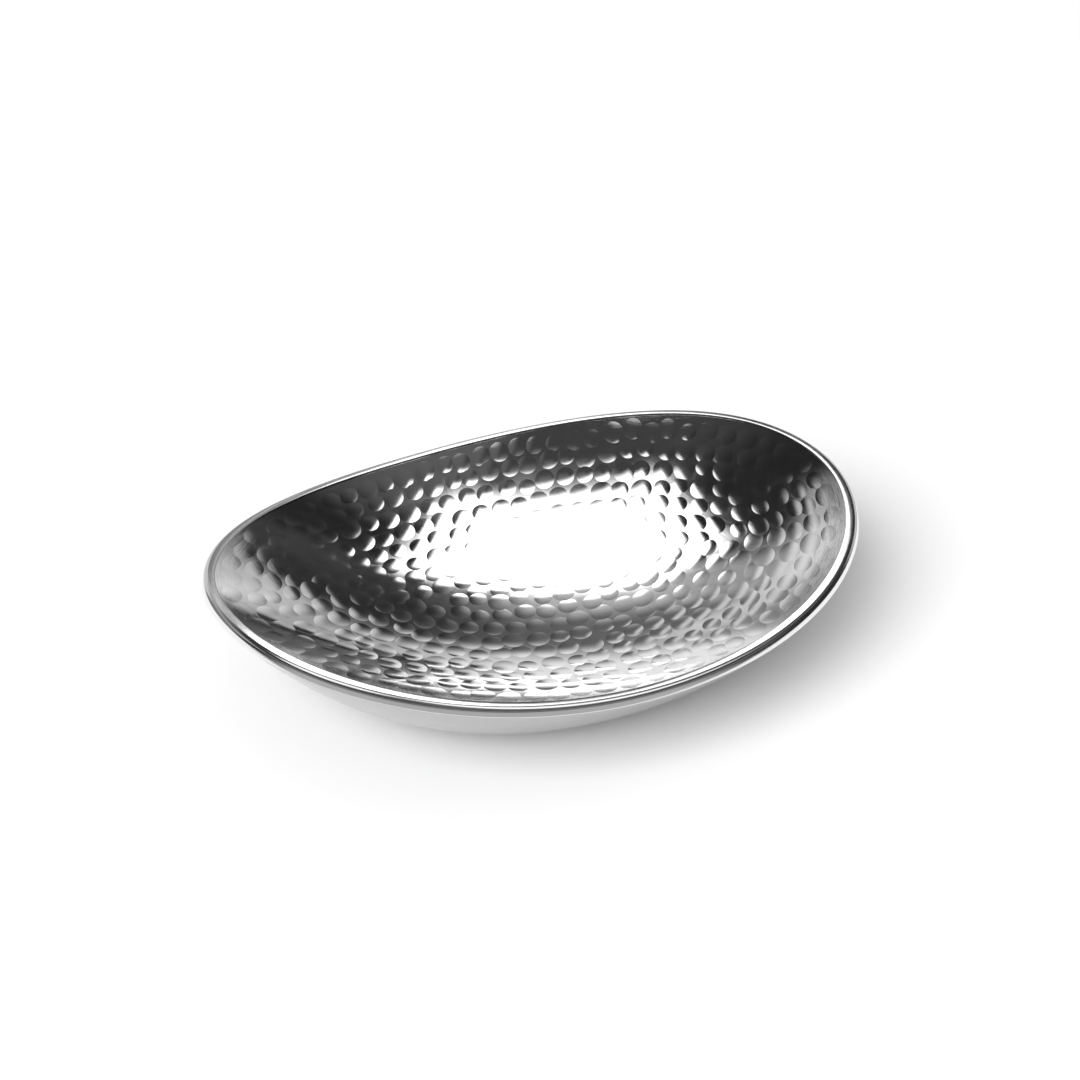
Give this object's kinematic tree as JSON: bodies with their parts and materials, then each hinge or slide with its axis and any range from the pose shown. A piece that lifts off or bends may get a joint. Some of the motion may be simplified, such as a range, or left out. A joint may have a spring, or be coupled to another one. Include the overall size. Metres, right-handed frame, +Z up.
{
  "type": "hammered metal tray",
  "caption": "Shallow oval serving tray of polished hammered metal with raised ends, a rounded rim rail and a smooth hollow body on a flat foot.",
  "frame": {"origin": "on the table surface, under the middle of the tray", "axes": "+X along the long axis of the oval, +Z up out of the bowl"},
  "size_m": [0.28, 0.218, 0.0546],
  "materials": {
    "hammered_steel": "mirror polished over hammer marks",
    "shell_steel": "smooth polished",
    "rail_steel": "mirror polished",
    "plug_steel": "satin"
  },
  "bodies": {
    "root": {"hammered_liner": "hammered_steel", "outer_shell": "shell_steel", "rim_rail": "rail_steel", "vent_plug": "plug_steel"}
  },
  "joints": []
}
